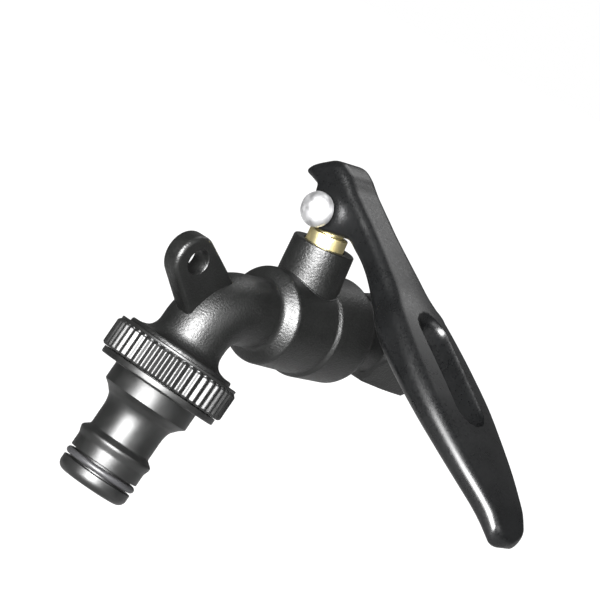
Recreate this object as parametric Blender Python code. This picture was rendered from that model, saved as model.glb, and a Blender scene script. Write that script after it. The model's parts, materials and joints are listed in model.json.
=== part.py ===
"""Lever-operated outdoor bib tap with a hose nipple and a padlock ear, in metres, +Z up.

The origin is on the axis of the body, in the seat behind its wrench hexagon that meets the wall.
+X runs to the outlet, +Z up the stem, and the lever hangs to +Y. Sizes are in millimetres, and
stations along the body are measured from the axis of the stem.
"""
import math

import bmesh
import bpy
from mathutils import Vector

MM = 0.001

# Clearances, and how far a cutter runs past the piece it cuts
SEAT_GAP = 0.3
PIN_CLEARANCE = 0.09
SLIDE_GAP = 0.25
THREAD_FIT = 0.35
RING_FIT = 0.06
O_RING_FIT = 0.1
PAST = 1.0

# Facets round a full turn
BODY_SIDES = 36
SMALL_SIDES = 24
RING_SIDES = 20
BALL_ROWS = 13

# Body casting: radii and stations along the body axis
BARREL_R = 10.6
BAND_R = 11.3
BAND_FRONT_X = -2.4
BAND_REAR_X = -10.7
BARREL_FRONT_X = 9.0
BARREL_DRAFT = 0.2
NECK_R = 7.8
NECK_FRONT_X = -18.6
DOME_FORM = [(0.0, 0.0), (0.25, 0.13), (0.45, 0.37), (0.65, 0.62), (0.83, 0.82), (1.0, 1.0)]
STEM_X = 37.0
HEX_LENGTH = 11.2
HEX_FRONT_FLATS = 15.3
HEX_MIDDLE_FLATS = 17.8
HEX_REAR_FLATS = 18.7
HEX_EDGE = 0.6
INLET_THREAD_R = 10.4
INLET_THREAD_ROOT_R = 9.2
INLET_THREAD_LENGTH = 6.8
THREAD_RELIEF = 1.1
THREAD_LEAD = 2.0
TUBE_R = 7.3
SHOULDER_FORM = [(0.0, 0.0), (0.24, 0.1), (0.43, 0.34), (0.57, 0.64), (0.71, 0.87), (0.88, 0.98)]

# Elbow and outlet
BEND_CORNER_X = 24.3
BEND_R = 9.0
OUTLET_TILT = math.radians(15.6)
OUTLET_DROP = 13.1
RIM_STEP = 1.25
RIM_TOP = -1.9
RIM_THICKNESS = 1.9
FLARE_BLEND = 2.3
OUTLET_THREAD_LENGTH = 5.4

# Waterway
INLET_BORE_R = 6.4
WATERWAY_R = 4.4
SPIGOT_BORE_R = 6.5
SPIGOT_BORE_DEPTH = 3.2

# Boss that carries the stem
BOSS_R = 6.76
BOSS_FOOT_R = 6.95
BOSS_TOP_Z = 17.65
BOSS_EDGE = 0.35
GLAND_BORE_R = 4.55
GLAND_LEDGE_Z = 10.0
STEM_BORE_R = 3.2

# Padlock ear
EAR_X = 36.7
EAR_Z = 8.25
EAR_R = 5.1
EAR_HOLE_R = 3.15
EAR_THICKNESS = 4.0
EAR_REAR_FOOT = (22.4, 4.4)
EAR_FRONT_FOOT = (30.2, -4.3)
EAR_EDGE = 0.5

# Ball, seats and the ring that holds them
BALL_R = 6.0
BALL_BORE_R = 3.6
BALL_SLOT_WIDTH = 2.5
BALL_SLOT_FLOOR_Z = 3.9
DRAIN_R = 0.8
SEAT_BORE_R = 3.9
SEAT_CONTACT_R = 5.3
SEAT_WALL_GAP = 0.2
SEAT_BACKING = 0.4
RETAINER_LENGTH = 6.0
RETAINER_GROOVE_INSET = 1.2
RETAINER_GROOVE_WIDTH = 1.6
RETAINER_GROOVE_DEPTH = 1.1
RETAINER_BORE_R = 3.9
RETAINER_NOTCH_WIDTH = 1.8
RETAINER_NOTCH_DEPTH = 1.5

# Stem and its packing
STEM_R = 3.0
STEM_COLLAR_R = 4.2
STEM_COLLAR_HEIGHT = 1.2
BLADE_LENGTH = 5.4
BLADE_ROOT = 0.5
STEM_GROOVES_Z = [6.9, 8.4]
STEM_GROOVE_HEIGHT = 1.0
STEM_RING_WIRE_R = 0.4
THRUST_WASHER_HEIGHT = 0.6
PACKING_HEIGHT = 2.0
TANG_THICKNESS = 3.8
TANG_RISE = 3.6
GLAND_R = 4.25
GLAND_TOP_Z = 20.2
GLAND_EDGE = 0.25

# Pivot of the lever
PIVOT_Z = 24.47
BOLT_R = 1.95
BOLT_HEAD_FLATS = 7.0
BOLT_HEAD_HEIGHT = 2.8
NUT_FLATS = 7.0
NUT_HEIGHT = 2.2
NUT_TURN = math.radians(20.0)
NUT_ROUND_R = 3.85
DOME_R = 3.3
DOME_HEIGHT = 3.3
SPRING_WASHER_R = 3.6
SPRING_WASHER_THICKNESS = 0.9
SPRING_WASHER_SPLIT = 0.8
DOME_ROOT = 1.0

# Lever: top point, under point and half width at each station, from the beak to the tip.
# Points are (y, z) from the pivot.
CHEEK = 4.5
LEVER_STATIONS = [
    ((-8.45, 5.60), (-8.45, 5.35), CHEEK - 0.4),
    ((-7.70, 7.40), (-7.60, 4.85), CHEEK - 0.1),
    ((-6.00, 8.80), (-6.20, 4.50), CHEEK),
    ((-3.80, 10.20), (-4.60, 3.80), CHEEK),
    ((-1.20, 10.50), (-4.15, 1.60), CHEEK),
    ((1.20, 9.40), (-3.85, -1.00), CHEEK),
    ((3.00, 8.20), (-2.55, -3.05), CHEEK),
    ((4.80, 7.00), (0.50, -3.98), CHEEK),
    ((6.60, 5.90), (3.40, -3.55), CHEEK),
    ((8.40, 4.80), (6.40, -3.00), CHEEK),
    ((10.40, 3.60), (8.80, -2.70), CHEEK),
    ((13.40, 1.75), (11.00, -4.00), CHEEK),
    ((17.50, -0.80), (14.80, -6.20), CHEEK),
    ((22.00, -3.60), (18.60, -8.60), 4.7),
    ((26.50, -6.40), (22.70, -12.40), 5.6),
    ((32.00, -9.80), (27.90, -16.30), 7.9),
    ((40.00, -14.80), (36.40, -20.80), 9.8),
    ((48.00, -19.70), (44.90, -24.80), 10.1),
    ((55.00, -24.10), (52.30, -28.50), 9.5),
    ((61.00, -27.80), (58.50, -31.80), 8.4),
    ((66.00, -30.90), (63.60, -34.80), 7.0),
    ((69.30, -33.30), (67.20, -37.20), 5.5),
    ((71.30, -35.60), (69.90, -39.10), 4.1),
    ((72.20, -37.60), (71.40, -39.80), 2.6),
]
LEVER_STEPS = 2
LEVER_CORNER_R = 1.3
PADDLE_CROWN = 1.3
PADDLE_HALF_WIDTH = 10.1
FORK_GAP = 0.3
FORK_SWING_GAP = 0.7
LOCK_SLOT_WIDTH = 8.6
LOCK_SLOT_LENGTH = 26.9
LOCK_SLOT_Y = 41.7
LOCK_SLOT_Z = -15.9
LOCK_SLOT_DEPTH = 12.0
LEVER_SLOPE = math.radians(31.8)

# Hose nipple, along the outlet axis from the top of the grip ring's ribs
SLEEVE_WALL = 1.1
SLEEVE_TOP = 0.4
SOCKET_R = 10.75
SOCKET_FLOOR = 6.8
FLANGE_STEP = 1.5
FLANGE_TOP = 6.1
FLANGE_BOTTOM = 7.35
HUB_R = 9.64
HUB_BOTTOM = 10.7
WAIST_R = 6.88
WAIST_TOP = 15.6
WAIST_BOTTOM = 20.3
RIDGE_R = 8.23
RIDGE_TOP = 21.5
RIDGE_BOTTOM = 21.9
LAND_R = 7.78
LAND_TOP = 23.2
GROOVE_TOP = 25.95
GROOVE_BOTTOM = 28.2
GROOVE_R = 6.6
NOSE_R = 7.85
NOSE_END = 31.2
NOSE_ROUND = 1.7
NIPPLE_BORE_R = 5.0
O_RING_R = 8.02
WASHER_SEAL_THICKNESS = 0.9

# Grip ring
RIB_COUNT = 54
RIB_STEP = 2.35
RIB_DEPTH = 0.6
RIB_POINTS = [0.0, 0.25, 0.75]
GRIP_LIP_WALL = 1.7
GRIP_LIP_TOP = -1.0
GRIP_RECESS_FLOOR = 0.4
EDGE = 0.3

OUTLET_THREAD_R = SOCKET_R - THREAD_FIT
RIM_R = SOCKET_R + RIM_STEP
SLEEVE_R = SOCKET_R + SLEEVE_WALL
FLANGE_R = SLEEVE_R + FLANGE_STEP
RIB_R = SLEEVE_R + RIB_STEP
GRIP_LIP_R = RIM_R + GRIP_LIP_WALL
SEAT_BACK_X = BALL_R + SEAT_GAP + SEAT_BACKING
CHAMBER_END_X = SEAT_BACK_X + SEAT_GAP
BEND_ANGLE = math.pi / 2 - OUTLET_TILT
BEND_START_X = BEND_CORNER_X - BEND_R * math.tan(BEND_ANGLE / 2)
BEND_END_S = BEND_START_X + BEND_R * BEND_ANGLE
OUTLET_S = BEND_END_S + OUTLET_DROP - BEND_R * math.tan(BEND_ANGLE / 2)
HEX_REAR_X = -STEM_X
INLET_END_X = HEX_REAR_X - THREAD_RELIEF - INLET_THREAD_LENGTH


def material(name, colour, roughness, metallic):
    """A Principled material with the given base colour, roughness and metallic value."""
    made = bpy.data.materials.new(name)
    made.use_nodes = True
    shader = made.node_tree.nodes["Principled BSDF"]
    shader.inputs["Base Color"].default_value = (*colour, 1.0)
    shader.inputs["Roughness"].default_value = roughness
    shader.inputs["Metallic"].default_value = metallic
    made.diffuse_color = (*colour, 1.0)
    return made


def frame(name, location=(0.0, 0.0, 0.0), rotation=(0.0, 0.0, 0.0), parent=None):
    """An empty that carries pieces; location in millimetres from its parent."""
    empty = bpy.data.objects.new(name, None)
    empty.location = Vector(location) * MM
    empty.rotation_euler = rotation
    empty.parent = parent
    bpy.context.scene.collection.objects.link(empty)
    return empty


def solid(name, mesh, parent, finish=None, rotation=(0.0, 0.0, 0.0)):
    """Close a bmesh given in millimetres into an object with outward faces."""
    bmesh.ops.remove_doubles(mesh, verts=mesh.verts, dist=0.0005)
    bmesh.ops.recalc_face_normals(mesh, faces=mesh.faces)
    bmesh.ops.scale(mesh, vec=Vector((MM, MM, MM)), verts=mesh.verts)
    data = bpy.data.meshes.new(name)
    mesh.to_mesh(data)
    mesh.free()
    data.shade_smooth()
    data.set_sharp_from_angle(angle=math.radians(32))
    made = bpy.data.objects.new(name, data)
    made.rotation_euler = rotation
    made.parent = parent
    bpy.context.scene.collection.objects.link(made)
    if finish:
        data.materials.append(finish)
    return made


def combine(target, tool, operation):
    """Add an exact Boolean with a tool that is only a guide."""
    step = target.modifiers.new(f"{operation.lower()} {tool.name}", "BOOLEAN")
    step.operation = operation
    step.solver = "EXACT"
    step.object = tool
    tool.hide_render = True
    tool.display_type = "WIRE"


def skin(rings, closed=False):
    """Join rings of points, equal in number, by quads and close the two ends."""
    mesh = bmesh.new()
    rows = [[mesh.verts.new(point) for point in ring] for ring in rings]
    pairs = list(zip(rows, rows[1:] + rows[:1])) if closed else list(zip(rows, rows[1:]))
    for row, following in pairs:
        for index in range(len(row)):
            after = (index + 1) % len(row)
            mesh.faces.new((row[index], row[after], following[after], following[index]))
    if not closed:
        mesh.faces.new(rows[0])
        mesh.faces.new(rows[-1])
    return mesh


def circles(outline, sides):
    """A ring of points round local Z for each (height, radius) point of an outline."""
    turns = [2 * math.pi * k / sides for k in range(sides)]
    return [[(radius * math.cos(turn), radius * math.sin(turn), height) for turn in turns]
            for height, radius in outline]


def turned(outline, sides):
    """Turn a closed outline of (height, radius) points about local Z."""
    return skin(circles(outline, sides), closed=True)


def turned_solid(outline, sides):
    """Turn an open outline of (height, radius) points about local Z and cap its two ends."""
    return skin(circles(outline, sides))


def quarter(start, end, steps):
    """A quarter ellipse from start to end that leaves start along the first coordinate."""
    points = []
    for k in range(1, steps + 1):
        angle = math.pi / 2 * k / steps
        points.append((start[0] + (end[0] - start[0]) * math.sin(angle),
                       start[1] + (end[1] - start[1]) * (1 - math.cos(angle))))
    return points


def spline(rows, steps):
    """Catmull-Rom curve through rows of numbers, with the given steps from one to the next."""
    points = []
    last = len(rows) - 1
    for index in range(last):
        around = [rows[max(index - 1, 0)], rows[index], rows[index + 1],
                  rows[min(index + 2, last)]]
        for step in range(steps):
            t = step / steps
            weights = (
                (-t + 2 * t * t - t ** 3) / 2,
                (2 - 5 * t * t + 3 * t ** 3) / 2,
                (t + 4 * t * t - 3 * t ** 3) / 2,
                (t ** 3 - t * t) / 2,
            )
            points.append(tuple(
                sum(weight * row[column] for weight, row in zip(weights, around))
                for column in range(len(rows[0]))
            ))
    points.append(tuple(rows[last]))
    return points


def path_point(s):
    """Point and direction, in the XZ plane, at distance s from the origin along the waterway."""
    if s <= BEND_START_X:
        return (s, 0.0), (1.0, 0.0)
    if s >= BEND_END_S:
        straight = s - OUTLET_S + OUTLET_DROP
        heading = (math.sin(OUTLET_TILT), -math.cos(OUTLET_TILT))
        return (BEND_CORNER_X + straight * heading[0], straight * heading[1]), heading
    turn = (s - BEND_START_X) / BEND_R
    heading = (math.cos(turn), -math.sin(turn))
    return (BEND_START_X + BEND_R * math.sin(turn), BEND_R * (math.cos(turn) - 1)), heading


def round_or_hex(angle, radius, flats):
    """Radius at an angle of a round bar, cut to a hexagon where a width across flats is given."""
    if not flats:
        return radius
    side = math.pi / 3
    offset = (angle + side / 2) % side - side / 2
    return min(radius, flats / 2 / math.cos(offset))


def along_waterway(stations, sides):
    """Carry a round section along the waterway; stations are (s, radius, flats)."""
    rings = []
    for s, radius, flats in stations:
        (x, z), (ahead, climb) = path_point(s)
        ring = []
        for k in range(sides):
            angle = 2 * math.pi * k / sides
            reach = round_or_hex(angle, radius, flats)
            side, up = reach * math.sin(angle), reach * math.cos(angle)
            ring.append((x - climb * up, side, z + ahead * up))
        rings.append(ring)
    return skin(rings)


def bend_stations(steps):
    """Evenly spaced stations round the bend of the waterway."""
    return [BEND_START_X + (BEND_END_S - BEND_START_X) * k / steps for k in range(steps + 1)]


def body_stations():
    """Outer form of the casting from the inlet thread to the end of the outlet thread."""
    relief_x = HEX_REAR_X - THREAD_RELIEF
    hex_front_x = HEX_REAR_X + HEX_LENGTH
    hex_corner = HEX_REAR_FLATS / math.sqrt(3)
    rows = [
        (INLET_END_X, INLET_THREAD_ROOT_R, None),
        (INLET_END_X + THREAD_LEAD, INLET_THREAD_R, None),
        (relief_x, INLET_THREAD_R, None),
        (relief_x, INLET_THREAD_ROOT_R, None),
        (HEX_REAR_X, INLET_THREAD_ROOT_R, None),
        (HEX_REAR_X, hex_corner - HEX_EDGE, HEX_REAR_FLATS),
        (HEX_REAR_X + HEX_EDGE, hex_corner, HEX_REAR_FLATS),
        ((HEX_REAR_X + hex_front_x) / 2, hex_corner, HEX_MIDDLE_FLATS),
        (hex_front_x - HEX_EDGE, hex_corner, HEX_FRONT_FLATS),
        (hex_front_x, NECK_R + EDGE, None),
        (hex_front_x + HEX_EDGE, NECK_R, None),
    ]
    rows += [(NECK_FRONT_X + ahead * (BAND_REAR_X - NECK_FRONT_X),
              NECK_R + outward * (BAND_R - NECK_R), None) for ahead, outward in DOME_FORM]
    rows += [
        (BAND_FRONT_X - EDGE, BAND_R, None),
        (BAND_FRONT_X + EDGE, BARREL_R + BARREL_DRAFT, None),
    ]
    length, drop = BEND_START_X - BARREL_FRONT_X, BARREL_R - TUBE_R
    rows += [(BARREL_FRONT_X + ahead * length, BARREL_R - inward * drop, None)
             for ahead, inward in SHOULDER_FORM]
    rows += [(s, TUBE_R, None) for s in bend_stations(7)]
    rim_top = OUTLET_S + RIM_TOP
    rows += [(s, r, None) for s, r in quarter(
        (rim_top - FLARE_BLEND, TUBE_R), (rim_top, TUBE_R + FLARE_BLEND), 3)]
    rim_bottom = rim_top + RIM_THICKNESS
    thread_end = rim_bottom + OUTLET_THREAD_LENGTH
    rows += [
        (rim_top + 0.1, RIM_R, None),
        (rim_bottom, RIM_R, None),
        (rim_bottom, OUTLET_THREAD_R, None),
        (thread_end - EDGE, OUTLET_THREAD_R, None),
        (thread_end, OUTLET_THREAD_R - EDGE, None),
    ]
    return rows


def bore_stations():
    """Inside of the casting: ball chamber, waterway round the elbow, and the outlet's mouth."""
    thread_end = OUTLET_S + RIM_TOP + RIM_THICKNESS + OUTLET_THREAD_LENGTH
    rows = [
        (INLET_END_X - PAST, INLET_BORE_R, None),
        (CHAMBER_END_X, INLET_BORE_R, None),
        (CHAMBER_END_X, WATERWAY_R, None),
    ]
    rows += [(s, WATERWAY_R, None) for s in bend_stations(6)]
    rows += [
        (thread_end - SPIGOT_BORE_DEPTH, WATERWAY_R, None),
        (thread_end - SPIGOT_BORE_DEPTH, SPIGOT_BORE_R, None),
        (thread_end + PAST, SPIGOT_BORE_R, None),
    ]
    return rows


def tangent_angle(foot, side):
    """Angle round the ear's head at which a line from a foot touches it, on the given side."""
    dx, dz = foot[0] - EAR_X, foot[1] - EAR_Z
    return math.atan2(dz, dx) + side * math.acos(EAR_R / math.hypot(dx, dz))


def ear_outline():
    """Padlock ear in the XZ plane: a round head on two straight sides that run into the elbow."""
    start = tangent_angle(EAR_FRONT_FOOT, 1)
    end = tangent_angle(EAR_REAR_FOOT, -1) % (2 * math.pi)
    steps = 12
    outline = [EAR_REAR_FOOT, EAR_FRONT_FOOT]
    for k in range(steps + 1):
        angle = start + (end - start) * k / steps
        outline.append((EAR_X + EAR_R * math.cos(angle), EAR_Z + EAR_R * math.sin(angle)))
    return outline


def plate(outline, thickness, edge):
    """A plate in the XZ plane, centred on Y, with its outline drawn in by a small edge."""
    middle = (sum(p[0] for p in outline) / len(outline), sum(p[1] for p in outline) / len(outline))
    rings = []
    for y, inset in ((-thickness / 2, edge), (-thickness / 2 + edge, 0.0),
                     (thickness / 2 - edge, 0.0), (thickness / 2, edge)):
        ring = []
        for x, z in outline:
            reach = math.hypot(x - middle[0], z - middle[1])
            keep = 1 - inset / reach
            ring.append((middle[0] + (x - middle[0]) * keep, y, middle[1] + (z - middle[1]) * keep))
        rings.append(ring)
    return skin(rings)


def box(low, high):
    """A plain block between two corners."""
    mesh = bmesh.new()
    bmesh.ops.create_cube(mesh, size=1.0)
    for vert in mesh.verts:
        vert.co = Vector(low[axis] + (vert.co[axis] + 0.5) * (high[axis] - low[axis])
                         for axis in range(3))
    return mesh


def make_body(tap, finish):
    """Cast body: inlet, ball chamber, boss, elbow, padlock ear and outlet in one piece."""
    body = solid("tap_body", along_waterway(body_stations(), BODY_SIDES), tap, finish)
    boss = solid("boss_form", turned_solid([
        (BALL_R, BOSS_FOOT_R), (GLAND_LEDGE_Z, BOSS_FOOT_R),
        (BOSS_TOP_Z - BOSS_EDGE, BOSS_R), (BOSS_TOP_Z, BOSS_R - BOSS_EDGE),
    ], BODY_SIDES), tap)
    combine(body, boss, "UNION")
    ear = solid("ear_form", plate(ear_outline(), EAR_THICKNESS, EAR_EDGE), tap)
    combine(body, ear, "UNION")
    bore = solid("waterway_cutter", along_waterway(bore_stations(), SMALL_SIDES), tap)
    combine(body, bore, "DIFFERENCE")
    well = solid("stem_well_cutter", turned_solid([
        (BALL_R / 2, STEM_BORE_R), (GLAND_LEDGE_Z, STEM_BORE_R), (GLAND_LEDGE_Z, GLAND_BORE_R),
        (BOSS_TOP_Z - EDGE, GLAND_BORE_R), (BOSS_TOP_Z + PAST, GLAND_BORE_R + EDGE + PAST),
    ], SMALL_SIDES), tap)
    combine(body, well, "DIFFERENCE")
    hole = solid("ear_hole_cutter", turned_solid([
        (-EAR_THICKNESS, EAR_HOLE_R), (EAR_THICKNESS, EAR_HOLE_R),
    ], SMALL_SIDES), tap, rotation=(math.pi / 2, 0.0, 0.0))
    hole.location = Vector((EAR_X, 0.0, EAR_Z)) * MM
    combine(body, hole, "DIFFERENCE")


def make_ball(stem_axis, finish):
    """Ball with its port along the body, a slot for the stem and a small drain hole."""
    lean = [math.pi * k / (BALL_ROWS + 1) for k in range(1, BALL_ROWS + 1)]
    rows = [(-BALL_R * math.cos(angle), BALL_R * math.sin(angle)) for angle in lean]
    ball = solid("ball", turned_solid(rows, SMALL_SIDES), stem_axis, finish)
    port = solid("port_cutter", turned_solid([
        (-BALL_R - PAST, BALL_BORE_R), (BALL_R + PAST, BALL_BORE_R),
    ], RING_SIDES), stem_axis, rotation=(0.0, math.pi / 2, 0.0))
    combine(ball, port, "DIFFERENCE")
    slot = solid("slot_cutter", box(
        (-BALL_SLOT_WIDTH / 2, -BALL_R, BALL_SLOT_FLOOR_Z),
        (BALL_SLOT_WIDTH / 2, BALL_R, BALL_R + PAST)), stem_axis)
    combine(ball, slot, "DIFFERENCE")
    drain = solid("drain_cutter", turned_solid([
        (0.0, DRAIN_R), (BALL_R + PAST, DRAIN_R),
    ], 12), stem_axis, rotation=(-math.pi / 2, 0.0, 0.0))
    combine(ball, drain, "DIFFERENCE")


def sphere_x(radius):
    """Distance along the body at which a seat of that radius clears the ball."""
    return math.sqrt((BALL_R + SEAT_WALL_GAP) ** 2 - radius ** 2)


def seat_outline(direction):
    """Seat ring: a flat back, a bore, and a cone that faces the ball."""
    back = direction * SEAT_BACK_X
    outer = INLET_BORE_R - SLIDE_GAP
    lip_x = direction * sphere_x(SEAT_CONTACT_R)
    return [
        (back, SEAT_BORE_R), (back, outer), (lip_x, outer), (lip_x, SEAT_CONTACT_R),
        (direction * sphere_x(SEAT_BORE_R), SEAT_BORE_R),
    ]


def make_seats(tap, plastic, brass, rubber):
    """Two seat rings round the ball, held from the inlet by a notched ring and an O-ring."""
    along = (0.0, math.pi / 2, 0.0)
    solid("front_seat", turned(seat_outline(1), SMALL_SIDES), tap, plastic, along)
    solid("rear_seat", turned(seat_outline(-1), SMALL_SIDES), tap, plastic, along)
    front = -CHAMBER_END_X
    rear = front - RETAINER_LENGTH
    outer = INLET_BORE_R - SLIDE_GAP
    groove_front = front - RETAINER_GROOVE_INSET
    groove_rear = groove_front - RETAINER_GROOVE_WIDTH
    groove_r = outer - RETAINER_GROOVE_DEPTH
    ring = solid("seat_retainer", turned([
        (front, RETAINER_BORE_R), (front, outer), (groove_front, outer),
        (groove_front, groove_r), (groove_rear, groove_r), (groove_rear, outer),
        (rear, outer), (rear, RETAINER_BORE_R),
    ], SMALL_SIDES), tap, brass, along)
    notch = solid("notch_cutter", box(
        (rear - PAST, -INLET_BORE_R, -RETAINER_NOTCH_WIDTH / 2),
        (rear + RETAINER_NOTCH_DEPTH, INLET_BORE_R, RETAINER_NOTCH_WIDTH / 2)), tap)
    combine(ring, notch, "DIFFERENCE")
    wire = (outer - groove_r) / 2
    solid("retainer_o_ring", o_ring((groove_front + groove_rear) / 2,
                                    groove_r + SLIDE_GAP / 2 + wire, wire), tap, rubber, along)


def o_ring(height, ring_r, wire_r):
    """A round wire ring about local Z, six-sided in section."""
    outline = [(height + wire_r * math.sin(math.pi * k / 3),
                ring_r + wire_r * math.cos(math.pi * k / 3)) for k in range(6)]
    return turned(outline, SMALL_SIDES)


def make_stem(stem_axis, brass, rubber):
    """Stem: blade in the ball's slot, O-ring groove, thrust collar, shank, and a flat tang."""
    collar_z = GLAND_LEDGE_Z + SEAT_GAP + THRUST_WASHER_HEIGHT + SEAT_GAP
    collar_top = collar_z + STEM_COLLAR_HEIGHT
    groove_r = STEM_R - STEM_RING_WIRE_R * 2
    foot_z = BALL_R + SEAT_GAP
    top_z = PIVOT_Z + TANG_RISE
    outline = [(foot_z, STEM_R)]
    for low in STEM_GROOVES_Z:
        high = low + STEM_GROOVE_HEIGHT
        outline += [(low, STEM_R), (low, groove_r), (high, groove_r), (high, STEM_R)]
    stem = solid("stem", turned_solid(outline + [
        (collar_z, STEM_R), (collar_z, STEM_COLLAR_R), (collar_top, STEM_COLLAR_R),
        (collar_top, STEM_R), (top_z - EDGE * 2, STEM_R),
        (top_z, STEM_R - EDGE * 2),
    ], SMALL_SIDES), stem_axis, brass)
    blade_half = BALL_SLOT_WIDTH / 2 - SLIDE_GAP
    blade = solid("blade_form", box(
        (-blade_half, -BLADE_LENGTH / 2, BALL_SLOT_FLOOR_Z + SEAT_GAP),
        (blade_half, BLADE_LENGTH / 2, foot_z + BLADE_ROOT)), stem_axis)
    combine(stem, blade, "UNION")
    for side, name in ((1, "front_flat_cutter"), (-1, "rear_flat_cutter")):
        inner, outer = sorted((side * TANG_THICKNESS / 2, side * (STEM_R + PAST)))
        flat = solid(name, box((inner, -STEM_R - PAST, GLAND_TOP_Z + EDGE),
                               (outer, STEM_R + PAST, top_z + PAST)), stem_axis)
        combine(stem, flat, "DIFFERENCE")
    hole = solid("tang_hole_cutter", turned_solid([
        (-STEM_R - PAST, BOLT_R + PIN_CLEARANCE), (STEM_R + PAST, BOLT_R + PIN_CLEARANCE),
    ], SMALL_SIDES), stem_axis, rotation=(0.0, math.pi / 2, 0.0))
    hole.location = Vector((0.0, 0.0, PIVOT_Z)) * MM
    combine(stem, hole, "DIFFERENCE")
    ring_r = groove_r + RING_FIT + STEM_RING_WIRE_R
    for low, name in zip(STEM_GROOVES_Z, ("lower_stem_o_ring", "upper_stem_o_ring")):
        solid(name, o_ring(low + STEM_GROOVE_HEIGHT / 2, ring_r, STEM_RING_WIRE_R),
              stem_axis, rubber)


def make_gland(tap, plastic, brass):
    """Thrust washer under the stem's collar, packing above it, and the brass gland nut."""
    washer_z = GLAND_LEDGE_Z + SEAT_GAP
    inner = STEM_R + SLIDE_GAP
    outer = GLAND_BORE_R - SLIDE_GAP
    solid("stem_thrust_washer", turned([
        (washer_z, inner), (washer_z, outer), (washer_z + THRUST_WASHER_HEIGHT, outer),
        (washer_z + THRUST_WASHER_HEIGHT, inner),
    ], RING_SIDES), tap, plastic)
    packing_z = washer_z + THRUST_WASHER_HEIGHT + SEAT_GAP + STEM_COLLAR_HEIGHT + SEAT_GAP
    packing_top = packing_z + PACKING_HEIGHT
    solid("stem_packing", turned([
        (packing_z, inner), (packing_z, outer), (packing_top, outer), (packing_top, inner),
    ], RING_SIDES), tap, plastic)
    nut_z = packing_top + SEAT_GAP
    solid("gland_nut", turned([
        (nut_z, inner), (nut_z, GLAND_R), (GLAND_TOP_Z - GLAND_EDGE, GLAND_R),
        (GLAND_TOP_Z, GLAND_R - GLAND_EDGE), (GLAND_TOP_Z, inner),
    ], SMALL_SIDES), tap, brass)


def lever_ring(row):
    """Section of the lever between its top and under points: rounded corners, crowned top."""
    top_y, top_z, under_y, under_z, half = row
    height = math.hypot(top_y - under_y, top_z - under_z)
    rise_y, rise_z = (top_y - under_y) / height, (top_z - under_z) / height
    corner = min(LEVER_CORNER_R, height * 0.45, half * 0.45)
    spread = max(0.0, (half - CHEEK) / (PADDLE_HALF_WIDTH - CHEEK))
    crown = PADDLE_CROWN * spread
    shape = []
    for side, centre_v, start in ((1, corner, -90), (1, height - corner, 0),
                                  (-1, height - corner, 90), (-1, corner, 180)):
        for degrees in (start, start + 30, start + 60, start + 90):
            angle = math.radians(degrees)
            shape.append((side * (half - corner) + corner * math.cos(angle),
                          centre_v + corner * math.sin(angle)))
        if start == 0:
            shape += [(share * (half - corner), height) for share in (0.6, 0.2, -0.2, -0.6)]
    ring = []
    for x, v in shape:
        lift = crown * (1 - (x / half) ** 2) * max(0.0, v / height)
        ring.append((x, under_y + rise_y * (v + lift), under_z + rise_z * (v + lift)))
    return ring


def make_lever(pivot, finish):
    """Cast lever: beak and fork at the pivot, a cam heel, and a paddle with a padlock slot."""
    rows = [(*top, *under, half) for top, under, half in LEVER_STATIONS]
    lever = solid("lever", skin([lever_ring(row) for row in spline(rows, LEVER_STEPS)]),
                  pivot, finish)
    swing = math.hypot(STEM_R, TANG_RISE) + FORK_SWING_GAP
    half_gap = TANG_THICKNESS / 2 + FORK_GAP
    fork = solid("fork_cutter", box((-half_gap, -swing, -swing * 2), (half_gap, swing, swing)),
                 pivot)
    combine(lever, fork, "DIFFERENCE")
    hole = solid("cheek_hole_cutter", turned_solid([
        (-CHEEK - PAST, BOLT_R + SLIDE_GAP / 2), (CHEEK + PAST, BOLT_R + SLIDE_GAP / 2),
    ], SMALL_SIDES), pivot, rotation=(0.0, math.pi / 2, 0.0))
    combine(lever, hole, "DIFFERENCE")
    combine(lever, lock_slot(pivot), "DIFFERENCE")


def lock_slot(pivot):
    """Cutter for the round-ended slot that passes square through the paddle."""
    radius = LOCK_SLOT_WIDTH / 2
    straight = LOCK_SLOT_LENGTH / 2 - radius
    steps = 8
    far_end = [(radius * math.cos(math.pi * k / steps),
                straight + radius * math.sin(math.pi * k / steps)) for k in range(steps + 1)]
    outline = far_end + [(-x, -y) for x, y in far_end]
    rings = [[(x, y, z) for x, y in outline] for z in (-LOCK_SLOT_DEPTH, LOCK_SLOT_DEPTH)]
    slot = solid("lock_slot_cutter", skin(rings), pivot, rotation=(-LEVER_SLOPE, 0.0, 0.0))
    slot.location = Vector((0.0, LOCK_SLOT_Y, LOCK_SLOT_Z)) * MM
    return slot


def hex_rings(flats, round_r, turn, inner, outer):
    """Hexagonal prism from inner to outer, its outer corners cut back by a shallow cone."""
    slope = (outer - inner) / abs(outer - inner)
    rows = [(inner, None), (outer - slope * EDGE, None), (outer, flats / 2)]
    rings = []
    for height, limit in rows:
        ring = []
        for k in range(SMALL_SIDES):
            angle = 2 * math.pi * k / SMALL_SIDES
            reach = round_or_hex(angle, limit or round_r, flats)
            ring.append((reach * math.cos(angle + turn), reach * math.sin(angle + turn), height))
        rings.append(ring)
    return rings


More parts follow.
